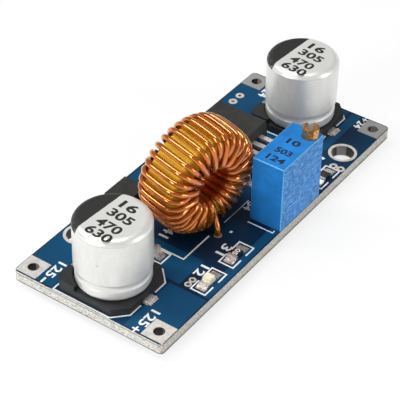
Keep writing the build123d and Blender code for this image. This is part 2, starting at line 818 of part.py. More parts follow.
def main():
    nodes = {}
    add_board(nodes)
    add_capacitors(nodes)
    add_inductor(nodes)
    add_regulator(nodes)
    add_diode(nodes)
    add_chips(nodes)
    add_trimmer(nodes)
    for name, shape in nodes.items():
        export_step(shape, f"parts/{name}.step")


main()
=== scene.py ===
import math

import bmesh
import bpy
from bpy.props import FloatProperty, FloatVectorProperty, IntProperty, PointerProperty
from mathutils import Matrix, Vector


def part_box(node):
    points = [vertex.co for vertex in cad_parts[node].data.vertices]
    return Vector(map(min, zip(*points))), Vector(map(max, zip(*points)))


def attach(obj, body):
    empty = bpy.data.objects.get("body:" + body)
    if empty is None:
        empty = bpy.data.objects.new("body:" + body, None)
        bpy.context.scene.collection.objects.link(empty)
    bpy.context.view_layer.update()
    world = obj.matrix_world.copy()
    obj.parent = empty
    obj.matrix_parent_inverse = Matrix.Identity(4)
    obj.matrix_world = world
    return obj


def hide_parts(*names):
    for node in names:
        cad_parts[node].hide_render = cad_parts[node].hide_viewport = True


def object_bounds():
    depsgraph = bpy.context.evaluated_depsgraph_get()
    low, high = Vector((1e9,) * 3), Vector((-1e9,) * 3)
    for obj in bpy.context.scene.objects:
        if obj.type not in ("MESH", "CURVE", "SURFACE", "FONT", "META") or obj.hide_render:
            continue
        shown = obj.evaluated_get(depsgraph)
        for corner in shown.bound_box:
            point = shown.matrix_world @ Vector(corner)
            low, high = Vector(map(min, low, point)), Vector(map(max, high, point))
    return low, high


bl_info = {
    "name": "Converter module looks",
    "version": (1, 0, 0),
    "blender": (4, 5, 0),
    "location": "View3D > Sidebar > Converter",
    "description": "Finishes, print and round wire for a step-down converter module",
    "category": "Object",
}

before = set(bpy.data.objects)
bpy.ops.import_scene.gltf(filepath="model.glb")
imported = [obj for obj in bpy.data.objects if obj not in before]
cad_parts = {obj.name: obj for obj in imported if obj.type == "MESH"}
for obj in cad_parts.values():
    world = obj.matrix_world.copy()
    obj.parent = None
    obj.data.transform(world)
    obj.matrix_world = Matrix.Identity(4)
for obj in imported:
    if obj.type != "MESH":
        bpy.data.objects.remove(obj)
CAD_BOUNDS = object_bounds()
MM = 0.001


def low(node):
    """Lowest corner of a solid's box, in metres."""
    return Vector(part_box(node)[0])


def high(node):
    """Highest corner of a solid's box, in metres."""
    return Vector(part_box(node)[1])


def middle(node):
    """Centre of a solid's box, in metres."""
    return (low(node) + high(node)) / 2


BOARD_TOP = high("circuit_board").z
CAN_TOP = high("output_capacitor_can").z
CAN_X = middle("input_capacitor_can").x
TRIMMER_LOW = low("trimmer_housing")
TRIMMER_HIGH = high("trimmer_housing")
SCREW_CENTRE = middle("adjusting_screw")

# Stamped figures: how deep they sit in their surface, how thick they are and how bold
FIGURE_SINK = 0.005 * MM
FIGURE_THICKNESS = 0.015 * MM
FIGURE_WEIGHT = 0.03
# The photograph's camera, solved from the board: turns in degrees, place in metres, lens in mm
CAMERA_TURNS = (-55.4306, 39.2792, 1.1795)
CAMERA_PLACE = (-0.13460, -0.09073, 0.13335)
CAMERA_LENS = 141.595


# Layout in millimetres

BOARD_THICKNESS = BOARD_TOP / MM
BOARD_END = low("circuit_board").x / MM
# Copper under the mask: left, right, front and back edge of each area
TOP_COPPER = [
    (-26.7, -17.4, -11.3, -5.6), (-26.7, -17.0, 5.6, 11.3), (-16.9, -11.6, -6.8, 4.4),
    (-13.2, 1.9, 4.9, 11.2), (2.4, 13.4, -0.6, 11.2), (14.2, 26.7, 5.6, 11.3),
    (17.0, 26.7, -7.0, -5.6), (-17.0, -1.2, -11.3, -10.0), (9.2, 13.4, -8.6, -5.7),
    (14.6, 26.7, -5.0, 5.2),
]
UNDERSIDE_COPPER = [(-26.5, 13.2, -11.1, 11.1), (13.8, 26.5, -11.1, 11.1)]
# Height of the dark inner layer in the board's cut end
INNER_LAYER = 1.27
# The vias beside the regulator, whose walls are grey instead of painted dark as shade
GREY_WALLS = (8, 20, 4, 12)
# The lands lose their shine between these two places along X
DULL_START, DULL_END = 21, 23.4
# Printed lines: points, and width as a share of the usual line
PRINT_LINES = [
    ([(-12.85, 3.4), (-12.85, -4.5), (-7.2, -4.5)], 1.0),
    ([(-3.9, -4.55), (1.8, -4.55)], 0.5),
    ([(-1.9, -6.9), (-1.9, -10.75), (-1.4, -10.75)], 0.8),
    ([(-11.6, 5.9), (-11.6, 5.6), (-5.0, 5.6), (-5.0, 5.9)], 1.0),
    ([(-11.6, 10.5), (-11.6, 10.8), (-5.0, 10.8), (-5.0, 10.5)], 1.0),
]
# Printed dashes: ends and width
PRINT_DASHES = [
    ([(15.2, -7.6), (15.6, -7.75)], 0.5),
    ([(-5.1, -6.32), (-4.7, -6.32)], 0.35),
]
# Printed figures: text, centre, and width and height
BOARD_FIGURES = [
    ("125", (-24.1, -7.45), (3.1, 1.35)), ("+", (-26.5, -7.25), (1.0, 1.0)),
    ("125", (-23.95, 7.2), (3.0, 1.30)), ("-", (-26.3, 7.3), (1.0, 0.3)),
    ("24", (25.0, -7.75), (1.7, 1.2)), ("+", (26.5, -7.75), (0.8, 0.8)),
    ("24", (23.4, 7.2), (1.9, 1.3)), ("-", (25.3, 7.2), (1.0, 0.3)),
    ("31", (-8.3, -7.6), (2.2, 1.4)), ("12", (-13.3, -7.55), (2.1, 1.25)),
    ("41", (-9.85, 0.2), (2.1, 1.5)), ("54", (0.8, -5.3), (1.7, 1.1)),
    ("73", (-14.4, 3.2), (2.0, 1.4)), ("95", (11.7, -7.6), (2.0, 1.4)),
]
# Figures on a can's top: text, place away from the band and along it, and width
CAN_FIGURES = [
    ("16", 2.6, -0.45, 2.5), ("305", 0.6, -0.85, 3.7), ("470", -1.6, -0.9, 3.7),
    ("630", -3.4, -0.92, 3.8),
]
# How far down a can's side the band reaches, and the depth of the crease near its foot
BAND_DEPTH, CREASE_DEPTH = 0.80, 0.76
# Figures on the trimmer's top: text, place along X, and width; their line and their height
TRIMMER_FIGURES = [("10", 4.55, 1.9), ("503", 2.2, 2.4), ("124", 0.35, 2.6)]
TRIMMER_FIGURE_LINE, TRIMMER_FIGURE_HEIGHT = 2.2, 1.15
# The trimmer's worm: how far it starts below the cover's top, and its thread
WORM_START, THREAD_PITCH = 1.7, 0.59
# A turn of the winding: its radius outside, and its offsets from the ring's middle plane there,
# at the shoulder and on the flank
WINDING_RADIUS, RIM_OFFSET, SHOULDER_OFFSET = 7.4, 1.8, 2.85
FLANK_DROP, FLANK_OFFSET = 1.4, 3.5
# The winding's inner layer in the bore and on the face, and the step to the outer layer
BORE_RADIUS, BORE_STEP = 3.35, 0.62
FACE_OFFSET, FACE_STEP = 3.0, 0.65


# Colours that aren't settings

MASK_DUST = (0.20, 0.26, 0.36)
EDGE_GRIME = (0.20, 0.18, 0.14)
EDGE_FIBRE = (0.92, 0.92, 0.88)
# Painted shade on the board's long sides and input end
PAINTED_EDGE_SHADE = (0.26, 0.24, 0.20)
EDGE_LAYER = (0.16, 0.19, 0.16)
EDGE_FOOT = (0.035, 0.045, 0.05)
PRINT_THIN, PRINT_FULL = (0.78, 0.82, 0.84), (0.97, 0.98, 0.98)
LAND_DULL = (0.36, 0.35, 0.34)
# Hole walls: painted shade, broken by paler streaks
PAINTED_HOLE_SHADE, HOLE_STREAK = (0.022, 0.015, 0.011), (0.34, 0.31, 0.29)
VIA_GREY = (0.50, 0.52, 0.54)
SOLDER_THIN = (0.36, 0.31, 0.27)
CAN_SPECK, BAND_CHIP = (0.16, 0.14, 0.13), (0.30, 0.28, 0.26)
BASE_BLACK = (0.024, 0.026, 0.027)
CORE_SPECK = (1.0, 0.76, 0.14)
WIRE_SCUFF = (0.90, 0.52, 0.20)
# Painted highlight on the raised parts of the trimmer's front relief, painted shade in its sunk
# parts
PAINTED_RELIEF_HIGHLIGHT, PAINTED_RELIEF_SHADE = (0.21, 0.50, 0.86), (0.012, 0.11, 0.36)
# Pale trimmer edges: partly wear, partly a painted highlight
COVER_RUB_AND_HIGHLIGHT = (0.22, 0.60, 0.90)
SEAL_DARK, SEAL_LIGHT = (0.012, 0.014, 0.02), (0.035, 0.038, 0.045)
SPRING_DEEP, SPRING_PALE = (0.70, 0.46, 0.22), (0.80, 0.58, 0.32)
LENS_DEEP, LENS_PALE = (0.90, 0.82, 0.56), (0.97, 0.94, 0.80)
GLAZE_BLACK = (0.012, 0.012, 0.013)
CAPACITOR_BROWN = (0.19, 0.12, 0.075)
CARRIER_WHITE = (0.78, 0.77, 0.72)
RESIN_BLUE = (0.02, 0.06, 0.16)
WHEEL_WHITE = (0.72, 0.72, 0.68)
ELEMENT_WHITE = (0.80, 0.79, 0.74)
TRACK_BLACK = (0.02, 0.02, 0.02)
FLOOR_WHITE = (0.93, 0.93, 0.93)


def shade(colour, *factors):
    """Multiplies a colour by one factor, or each of its parts by its own."""
    return [v * f for v, f in zip(colour, factors * 3 if len(factors) == 1 else factors)]


# Settings that a user would change


class BoardSettings(bpy.types.PropertyGroup):
    mask: FloatVectorProperty(
        name="Mask colour", description="Solder mask over bare laminate", subtype="COLOR",
        default=(0.0012, 0.017, 0.046), min=0, max=1)
    mask_over_copper: FloatVectorProperty(
        name="Mask over copper", description="Solder mask where copper lies under it",
        subtype="COLOR", default=(0.003, 0.062, 0.148), min=0, max=1)
    laminate: FloatVectorProperty(
        name="Laminate colour", description="Cut edge of the board", subtype="COLOR",
        default=(0.86, 0.84, 0.78), min=0, max=1)
    line_width: FloatProperty(
        name="Print line", description="Width of the printed outlines", unit="LENGTH",
        default=0.21 * MM)
    print_height: FloatProperty(
        name="Print height", description="How far the print stands above the mask", unit="LENGTH",
        default=0.02 * MM)


class CapacitorSettings(bpy.types.PropertyGroup):
    aluminium: FloatVectorProperty(
        name="Can colour", description="Satin aluminium of the cans", subtype="COLOR",
        default=(0.86, 0.86, 0.83), min=0, max=1)
    band: FloatVectorProperty(
        name="Band colour", description="Polarity mark and figures on the can tops",
        subtype="COLOR", default=(0.009, 0.009, 0.0085), min=0, max=1)
    band_chord: FloatProperty(
        name="Band chord", description="Distance of the polarity mark's edge from the can's axis",
        unit="LENGTH", default=1.85 * MM)
    print_turn: FloatProperty(
        name="Print turn", description="Turn of the mark and figures about the can's axis",
        subtype="ANGLE", default=math.radians(-4.0))
    digit_height: FloatProperty(
        name="Figure height", description="Height of the figures on the can tops", unit="LENGTH",
        default=1.5 * MM)


class WindingSettings(bpy.types.PropertyGroup):
    wire: FloatVectorProperty(
        name="Wire colour", description="Enamelled copper", subtype="COLOR",
        default=(0.70, 0.205, 0.012), min=0, max=1)
    core: FloatVectorProperty(
        name="Core colour", description="Coating of the ring core", subtype="COLOR",
        default=(1.0, 0.70, 0.055), min=0, max=1)
    diameter: FloatProperty(
        name="Wire diameter", description="Diameter over the enamel", unit="LENGTH",
        default=0.8 * MM)
    turns: IntProperty(name="Turns", description="Turns on the core", default=34, min=1)
    pitch: FloatProperty(
        name="Pitch", description="Angle between turns", subtype="ANGLE",
        default=math.radians(10.5))
    start: FloatProperty(
        name="Start", description="Angle of the front lead round the ring", subtype="ANGLE",
        default=math.radians(276.75))
    yaw: FloatProperty(
        name="Yaw", description="Turn of the ring about the vertical", subtype="ANGLE",
        default=math.radians(-11.0))
    lean: FloatProperty(
        name="Lean", description="Lean of the ring's top towards the front", subtype="ANGLE",
        default=math.radians(5.0))
    sides: IntProperty(name="Sides", description="Sides of the round wire", default=12, min=6)


class TrimmerSettings(bpy.types.PropertyGroup):
    moulding: FloatVectorProperty(
        name="Cover colour", description="Moulded cover of the trimmer", subtype="COLOR",
        default=(0.018, 0.215, 0.62), min=0, max=1)
    brass: FloatVectorProperty(
        name="Screw colour", description="Turned brass", subtype="COLOR",
        default=(0.82, 0.47, 0.18), min=0, max=1)
    ink: FloatVectorProperty(
        name="Ink colour", description="Figures on the trimmer's top", subtype="COLOR",
        default=(0.004, 0.009, 0.030), min=0, max=1)


class PackageSettings(bpy.types.PropertyGroup):
    moulding: FloatVectorProperty(
        name="Package colour", description="Moulded regulator and diode", subtype="COLOR",
        default=(0.029, 0.029, 0.027), min=0, max=1)
    tin: FloatVectorProperty(
        name="Tin colour", description="Tinned leads and lands", subtype="COLOR",
        default=(0.82, 0.80, 0.77), min=0, max=1)


class StageSettings(bpy.types.PropertyGroup):
    floor_size: FloatProperty(
        name="Floor size", description="Radius of the flat floor inside its raised rim",
        unit="LENGTH", default=1.2)
    key_power: FloatProperty(
        name="Key light", description="Power of the long overhead light", unit="POWER",
        default=1.45)
    side_power: FloatProperty(
        name="Side light", description="Power of the light beside the output end", unit="POWER",
        default=0.88)
    front_power: FloatProperty(
        name="Front light", description="Power of the light in front of the trimmer", unit="POWER",
        default=0.50)
    world_strength: FloatProperty(
        name="Surround", description="Strength of the plain surround", default=0.27)


# Shader maths


class Wire:
    """A shader socket that can be used in Python expressions."""

    def __init__(self, finish, socket):
        self.finish = finish
        self.socket = socket

    def maths(self, operation, *others):
        """Adds a Math node with this value as its first."""
        values = dict(enumerate((self, *others)))
        return self.finish.add("ShaderNodeMath", values, operation=operation)

    def flipped(self, operation, other):
        """Adds a Math node with this value as its second."""
        return self.finish.add("ShaderNodeMath", {0: other, 1: self}, operation=operation)

    def __add__(self, other):
        return self.maths("ADD", other)

    def __radd__(self, other):
        return self.flipped("ADD", other)

    def __sub__(self, other):
        return self.maths("SUBTRACT", other)

    def __rsub__(self, other):
        return self.flipped("SUBTRACT", other)

    def __mul__(self, other):
        return self.maths("MULTIPLY", other)

    def __abs__(self):
        return self.maths("ABSOLUTE")

    def __gt__(self, other):
        return self.maths("GREATER_THAN", other)

    def __lt__(self, other):
        return self.maths("LESS_THAN", other)


class Finish:
    """A material that is built up from shader nodes around one principled shader."""

    def __init__(self, name, **uniform):
        self.material = bpy.data.materials.new(name)
        self.material.use_nodes = True
        self.tree = self.material.node_tree
        self.shader = self.tree.nodes["Principled BSDF"]
        self.output = self.tree.nodes["Material Output"]
        self.set(**uniform)

    def feed(self, socket, value):
        """Links a socket, or sets it."""
        if isinstance(value, Wire):
            self.tree.links.new(value.socket, socket)
        elif socket.type == "RGBA" and len(value) == 3:
            socket.default_value = (*value, 1.0)
        else:
            socket.default_value = value

    def set(self, **values):
        """Sets or links the principled shader's sockets, named with underscores."""
        for key, value in values.items():
            name = key.replace("_", " ").title().replace("Ior", "IOR")
            self.feed(self.shader.inputs[name], value)

    def add(self, kind, values=None, output=0, **settings):
        """Adds a node: its settings first, then the values or links of its sockets."""
        node = self.tree.nodes.new(kind)
        for key, value in settings.items():
            setattr(node, key, value)
        for key, value in (values or {}).items():
            self.feed(node.inputs[key], value)
        return Wire(self, node.outputs[output])

    def place(self):
        """Object coordinates in millimetres, as a vector."""
        values = {0: self.add("ShaderNodeTexCoord", output="Object"), "Scale": 1 / MM}
        return self.add("ShaderNodeVectorMath", values, operation="SCALE")

    def axes(self, vector):
        """The three parts of a vector."""
        split = self.tree.nodes.new("ShaderNodeSeparateXYZ")
        self.feed(split.inputs[0], vector)
        return [Wire(self, socket) for socket in split.outputs]

    def stretched(self, vector, x=1, y=1, z=1):
        """Scales a vector's parts, which squeezes a noise along them."""
        values = {0: vector, 1: (x, y, z)}
        return self.add("ShaderNodeVectorMath", values, operation="MULTIPLY")

    def noise(self, vector, scale, detail=2, roughness=0.5):
        """Noise between 0 and 1, with its features about 1/scale millimetres apart."""
        values = {"Vector": vector, "Scale": scale, "Detail": detail, "Roughness": roughness}
        return self.add("ShaderNodeTexNoise", values)

    def blend(self, factor, first, second):
        """Mixes two colours."""
        values = {0: factor, 6: first, 7: second}
        return self.add("ShaderNodeMix", values, output=2, data_type="RGBA")

    def span(self, value, start, end, to_start=0.0, to_end=1.0):
        """Maps a value smoothly from one span to another."""
        values = {0: value, 1: start, 2: end, 3: to_start, 4: to_end}
        return self.add("ShaderNodeMapRange", values, interpolation_type="SMOOTHSTEP")

    def relief(self, height, depth):
        """Turns a height between 0 and 1 into a bump of so many millimetres."""
        values = {"Height": height, "Distance": depth * MM, "Strength": 1.0}
        self.set(normal=self.add("ShaderNodeBump", values))


def box_mask(x, y, limits, edge=0.04):
    """Value that is 1 inside a rectangle and 0 outside."""
    x0, x1, y0, y1 = limits
    across = abs(x - (x0 + x1) / 2)
    along = abs(y - (y0 + y1) / 2)
    inside_x = x.finish.span(across, (x1 - x0) / 2 + edge, (x1 - x0) / 2 - edge)
    inside_y = x.finish.span(along, (y1 - y0) / 2 + edge, (y1 - y0) / 2 - edge)
    return inside_x * inside_y


def any_box(x, y, areas):
    """Value that is 1 inside any of several rectangles."""
    mask = box_mask(x, y, areas[0])
    for limits in areas[1:]:
        mask = mask.maths("MAXIMUM", box_mask(x, y, limits))
    return mask


# Finishes


def mask_finish(settings):
    """Blue solder mask over copper areas, with the bare laminate on the cut edges."""
    finish = Finish("board_mask", specular_ior_level=0.18)
    place = finish.place()
    x, y, z = finish.axes(place)
    top = z > BOARD_THICKNESS / 2
    copper = top * any_box(x, y, TOP_COPPER) + (1 - top) * any_box(x, y, UNDERSIDE_COPPER)
    cloud = finish.noise(place, 0.16, detail=3)
    streak = finish.noise(finish.stretched(place, 0.5, 2.2, 1), 0.7, detail=4, roughness=0.65)
    weave = finish.noise(finish.stretched(place, 1, 1, 0.2), 3.2, detail=1)
    tone = finish.blend(copper, settings.mask, settings.mask_over_copper)
    lift = finish.span(cloud, 0.3, 0.75, 0.0, 0.25)
    tone = finish.blend(lift, tone, shade(settings.mask_over_copper, 1.7))
    tone = finish.blend(finish.span(streak, 0.6, 0.8, 0.0, 0.07), tone, MASK_DUST)
    tone = finish.blend(weave * 0.15, tone, settings.mask)
    # Cut edges: glass fibres, grime and a painted shade on all of them but the output end's, and a
    # dark layer there
    fibre = finish.noise(finish.stretched(place, 1.2, 1.2, 5.0), 2.4, detail=4, roughness=0.7)
    speck = finish.noise(place, 7.0, detail=2, roughness=0.8)
    pale, deep = settings.laminate, shade(settings.laminate, 0.45)
    cut = finish.blend(finish.span(fibre, 0.40, 0.58), deep, pale)
    grimy_and_shaded_sides = x > BOARD_END + 0.1
    grime = finish.span(z + fibre * 0.9, 1.1, 0.55, 0.0, 0.7) * grimy_and_shaded_sides
    cut = finish.blend(grime, cut, EDGE_GRIME)
    cut = finish.blend(finish.span(speck, 0.55, 0.7, 0.0, 0.6), cut, EDGE_FIBRE)
    # Painted shade: the long sides and the input end are darker than the output end
    cut = finish.blend(grimy_and_shaded_sides * 0.3, cut, PAINTED_EDGE_SHADE)
    layer = finish.span(abs(z - INNER_LAYER), 0.10, 0.03, 0.0, 0.8) * (1 - grimy_and_shaded_sides)
    cut = finish.blend(layer, cut, EDGE_LAYER)
    cut = finish.blend(finish.span(z, 0.20, 0.05), cut, EDGE_FOOT)
    side = (z > 0.01) * (z < BOARD_THICKNESS - 0.01)
    finish.set(base_color=finish.blend(side, tone, cut))
    finish.set(roughness=side * 0.35 + 0.38 + speck * 0.1)
    finish.relief(copper * 0.6 + weave * 0.08 + side * fibre * 0.6, 0.035)
    return finish.material


def print_finish():
    """White board print, thin enough at its edges to look screened."""
    finish = Finish("board_print", roughness=0.55, specular_ior_level=0.3)
    place = finish.place()
    grain = finish.noise(place, 9.0, detail=3, roughness=0.7)
    finish.set(base_color=finish.blend(finish.span(grain, 0.35, 0.65), PRINT_THIN, PRINT_FULL))
    finish.relief(grain, 0.01)
    return finish.material


def land_finish(settings):
    """Tinned lands with hole walls painted dark as shade, broken by paler streaks; the input end is
    dull and the regulator's vias grey.
    """
    finish = Finish("tinned_land")
    place = finish.place()
    x, y, z = finish.axes(place)
    cloud = finish.noise(place, 1.6, detail=4, roughness=0.6)
    fine = finish.noise(place, 11.0, detail=2)
    streak = finish.noise(finish.stretched(place, 1, 1, 0.05), 0.9, detail=1)
    wall = (z > 0.02) * (z < BOARD_THICKNESS - 0.02)
    cloudy = shade(settings.tin, 0.80, 0.77, 0.74)
    tone = finish.blend(finish.span(cloud, 0.35, 0.7), settings.tin, cloudy)
    tone = finish.blend(finish.span(x, DULL_START, DULL_END, 0.0, 0.85), tone, LAND_DULL)
    # Painted shade on the hole walls, broken by paler streaks; the vias beside the regulator get
    # grey instead
    darkening = finish.blend(finish.span(streak, 0.46, 0.56), PAINTED_HOLE_SHADE, HOLE_STREAK)
    darkening = finish.blend(box_mask(x, y, GREY_WALLS), darkening, VIA_GREY)
    finish.set(base_color=finish.blend(wall, tone, darkening))
    finish.set(metallic=0.40 - wall * 0.2)
    finish.set(roughness=cloud * 0.2 + 0.36)
    finish.relief(cloud * 0.7 + fine * 0.3, 0.03)
    return finish.material


def tin_finish(name, settings, roughness, dull):
    """Tinned metal with a faint cloudiness."""
    finish = Finish(name, metallic=0.75)
    place = finish.place()
    cloud = finish.noise(place, 1.6, detail=4, roughness=0.6)
    fine = finish.noise(place, 11.0, detail=2)
    cloudy = shade(settings.tin, dull)
    finish.set(base_color=finish.blend(finish.span(cloud, 0.35, 0.7), settings.tin, cloudy))
    finish.set(roughness=cloud * 0.22 + roughness)
    finish.relief(cloud * 0.7 + fine * 0.3, 0.03)
    return finish.material


def solder_finish(settings):
    """Solder with a soft sheen, a little uneven and greyer where it is thin."""
    finish = Finish("soft_solder", metallic=0.6)
    place = finish.place()
    swell = finish.noise(place, 2.0, detail=3, roughness=0.6)
    fine = finish.noise(place, 14.0, detail=2)
    thick = finish.span(swell, 0.35, 0.65)
    finish.set(base_color=finish.blend(thick, SOLDER_THIN, shade(settings.tin, 0.92)))
    finish.set(roughness=fine * 0.15 + 0.34)
    finish.relief(swell, 0.10)
    return finish.material


def can_finish(settings):
    """Satin aluminium can with a printed polarity mark on one side of its top."""
    finish = Finish("can_aluminium")
    place = finish.place()
    x, y, z = finish.axes(place)
    top = CAN_TOP / MM
    around = finish.noise(finish.stretched(place, 1.0, 1.0, 0.3), 1.1, detail=3)
    brushed = finish.noise(finish.stretched(place, 0.15, 0.15, 4.0), 2.0, detail=3, roughness=0.7)
    grain = finish.noise(place, 13.0, detail=2, roughness=0.6)
    wobble = finish.noise(place, 1.8, detail=3, roughness=0.7)
    nearest = x - x.maths("SIGN") * (CAN_X / MM)
    turn = settings.print_turn
    edge = y * math.cos(turn) - nearest * math.sin(turn) + (wobble - 0.5) * 0.12
    chord = settings.band_chord / MM
    band = finish.span(edge, chord - 0.04, chord + 0.04) * (z > top - BAND_DEPTH)
    can = settings.aluminium
    metal = finish.blend(finish.span(around, 0.35, 0.7), can, shade(can, 0.93))
    lid = z > top - 0.02
    metal = finish.blend(lid, metal, shade(can, 0.90))
    metal = finish.blend(finish.span(brushed, 0.35, 0.65, 0.0, 0.18), metal, shade(can, 0.78))
    # Painted shade: a thin dark line along the crease below the can's top
    crease = finish.span(abs(z - (top - CREASE_DEPTH)), 0.06, 0.01, 0.0, 0.5)
    metal = finish.blend(crease, metal, shade(can, 0.45))
    speck = finish.span(finish.noise(place, 0.9, detail=0), 0.865, 0.88)
    metal = finish.blend(speck * 0.6, metal, CAN_SPECK)
    black = finish.span(grain, 0.3, 0.75)
    black = finish.blend(black, settings.band, shade(settings.band, 2.4))
    chip = finish.span(wobble, 0.55, 0.59) * finish.span(z, top - 0.1, top - 0.3)
    black = finish.blend(chip * 0.7, black, BAND_CHIP)
    finish.set(base_color=finish.blend(band, metal, black))
    finish.set(metallic=(1 - band) * (0.42 - lid * 0.15))
    finish.set(roughness=grain * 0.08 + 0.32 + band * 0.15)
    finish.relief(grain * 0.4 + brushed * 0.5, 0.012)
    return finish.material


def ink_finish(name, colour, scale, lift, roughness):
    """Stamping ink that is a little patchy, and lighter by a factor where it is thin."""
    finish = Finish(name)
    grain = finish.noise(finish.place(), scale, detail=3)
    finish.set(base_color=finish.blend(grain, colour, shade(colour, lift)))
    finish.set(roughness=grain * 0.2 + roughness)
    finish.relief(grain, 0.005)
    return finish.material


def moulding_finish(name, colour, roughness, depth):
    """Moulded plastic with a fine eroded grain."""
    finish = Finish(name, specular_ior_level=0.3)
    place = finish.place()
    grain = finish.noise(place, 8.5, detail=3, roughness=0.65)
    cloud = finish.noise(place, 0.6, detail=3)
    tone = finish.blend(finish.span(cloud, 0.3, 0.7), shade(colour, 0.85), shade(colour, 1.2))
    tone = finish.blend(finish.span(grain, 0.55, 0.75, 0.0, 0.4), tone, shade(colour, 1.8))
    finish.set(base_color=tone)
    finish.set(roughness=grain * 0.15 + roughness)
    finish.relief(grain, depth)
    return finish.material


def core_finish(settings):
    """Powder coating of the ring core, with a faint orange peel."""
    finish = Finish("core_coating", specular_ior_level=0.15)
    place = finish.place()
    peel = finish.noise(place, 2.2, detail=2)
    speck = finish.noise(place, 9.0, detail=2)
    tone = finish.blend(finish.span(peel, 0.3, 0.7), shade(settings.core, 0.92), settings.core)
    speck = finish.span(speck, 0.6, 0.75, 0.0, 0.35)
    finish.set(base_color=finish.blend(speck, tone, CORE_SPECK))
    finish.set(roughness=peel * 0.15 + 0.5)
    finish.relief(peel, 0.05)
    return finish.material


def wire_finish(settings):
    """Copper under clear amber enamel, with a few scuffs from the winding."""
    finish = Finish("enamelled_wire", metallic=0.75, coat_weight=1.0, coat_roughness=0.04)
    place = finish.place()
    drift = finish.noise(place, 0.35, detail=2)
    rub = finish.noise(place, 5.5, detail=3, roughness=0.7)
    deep = shade(settings.wire, 0.85, 0.72, 0.7)
    tone = finish.blend(finish.span(drift, 0.3, 0.7), settings.wire, deep)
    scuff = finish.span(rub, 0.62, 0.74)
    finish.set(base_color=finish.blend(scuff * 0.3, tone, WIRE_SCUFF))
    finish.set(roughness=rub * 0.05 + 0.09)
    finish.relief(rub, 0.002)
    return finish.material


def trimmer_finish(settings):
    """Blue cover with pale edges, partly rubbed and partly a painted highlight, and a slanting
    mottle on its front face, painted lighter as a highlight where it is raised and darker as shade
    where it is sunk.
    """
    finish = Finish("trimmer_moulding", specular_ior_level=0.2)
    place = finish.place()
    x, y, z = finish.axes(place)
    lowest, highest = TRIMMER_LOW / MM, TRIMMER_HIGH / MM
    front = y < lowest.y + 0.01
    slant = finish.add("ShaderNodeCombineXYZ", {0: (x + z * 0.4) * 0.9, 1: z * 3.2 - x, 2: y})
    pattern = finish.noise(slant, 1.5, detail=2, roughness=0.6)
    cloud = finish.noise(place, 0.5, detail=2)
    fine = finish.noise(place, 6.0, detail=3)
    deep, light = shade(settings.moulding, 0.88), shade(settings.moulding, 1.12)
    tone = finish.blend(finish.span(cloud, 0.3, 0.7), deep, light)
    # Painted highlight on the relief's raised parts and painted shade in its sunk parts
    raised = finish.span(pattern, 0.50, 0.58) * front
    tone = finish.blend(raised * 0.7, tone, PAINTED_RELIEF_HIGHLIGHT)
    tone = finish.blend(finish.span(pattern, 0.48, 0.40) * front * 0.6, tone, PAINTED_RELIEF_SHADE)
    # Distance to the nearest edge between two faces, made ragged
    to_side = (x - lowest.x).maths("MINIMUM", highest.x - x)
    to_face = (y - lowest.y).maths("MINIMUM", highest.y - y)
    to_top = highest.z - z
    nearest = to_side.maths("MINIMUM", to_face)
    corner = to_side.maths("MAXIMUM", to_face)
    rim = nearest.maths("MAXIMUM", to_top).maths("MINIMUM", corner)
    ragged = rim + (fine - 0.5) * 0.16
    # Pale edges: partly wear, partly a painted highlight
    tone = finish.blend(finish.span(ragged, 0.16, 0.05, 0.0, 0.85), tone, COVER_RUB_AND_HIGHLIGHT)
    finish.set(base_color=tone)
    finish.set(roughness=0.34 + fine * 0.10 + front * (pattern * 0.2))
    finish.relief(pattern * front * 0.9 + fine * 0.15, 0.05)
    return finish.material


def brass_finish(settings):
    """Turned brass: fine rings on the head and a thread on the worm below it."""
    finish = Finish("turned_brass", metallic=0.85)
    place = finish.place()
    x, y, z = finish.axes(place)
    across = x - SCREW_CENTRE.x / MM
    along = y - SCREW_CENTRE.y / MM
    angle = along.maths("ARCTAN2", across)
    worm = z < TRIMMER_HIGH.z / MM - WORM_START
    thread = (z * (2 * math.pi / THREAD_PITCH) + angle).maths("SINE") * 0.5 + 0.5
    radius = (across * across + along * along).maths("SQRT")
    rings = (radius * 70).maths("SINE") * 0.5 + 0.5
    darkening = finish.noise(place, 3.4, detail=4, roughness=0.65)
    dark = shade(settings.brass, 0.30, 0.20, 0.12)
    tone = finish.blend(finish.span(darkening, 0.35, 0.7), settings.brass, dark)
    finish.set(base_color=tone)
    finish.set(roughness=darkening * 0.25 + 0.20)
    finish.relief(worm * thread * 5 + (1 - worm) * (rings * 0.25 + darkening * 0.6), 0.03)
    return finish.material


def rubber_finish():
    """Matt black rubber of the seal."""
    finish = Finish("seal_rubber")
    grain = finish.noise(finish.place(), 10.0, detail=3)
    finish.set(base_color=finish.blend(grain, SEAL_DARK, SEAL_LIGHT))
    finish.set(roughness=grain * 0.2 + 0.5)
    finish.relief(grain, 0.02)
    return finish.material


def spring_finish():
    """Rolled spring bronze with a fine grain."""
    finish = Finish("spring_bronze", metallic=1.0)
    grain = finish.noise(finish.place(), 6.0, detail=3)
    finish.set(base_color=finish.blend(grain, SPRING_DEEP, SPRING_PALE))
    finish.set(roughness=grain * 0.2 + 0.2)
    finish.relief(grain, 0.01)
    return finish.material


def ceramic_finish(name, colour, roughness, gloss=0.0):
    """Fired ceramic with fine pores."""
    finish = Finish(name, specular_ior_level=0.35, coat_weight=gloss, coat_roughness=0.15)
    place = finish.place()
    pores = finish.noise(place, 12.0, detail=3, roughness=0.7)
    cloud = finish.noise(place, 1.3, detail=2)
    tone = finish.blend(finish.span(cloud, 0.3, 0.7), colour, shade(colour, 0.85))
    pore = finish.span(pores, 0.58, 0.72, 0.0, 0.3)
    finish.set(base_color=finish.blend(pore, tone, shade(colour, 1.5)))
    finish.set(roughness=pores * 0.12 + roughness)
    finish.relief(pores, 0.01)
    return finish.material


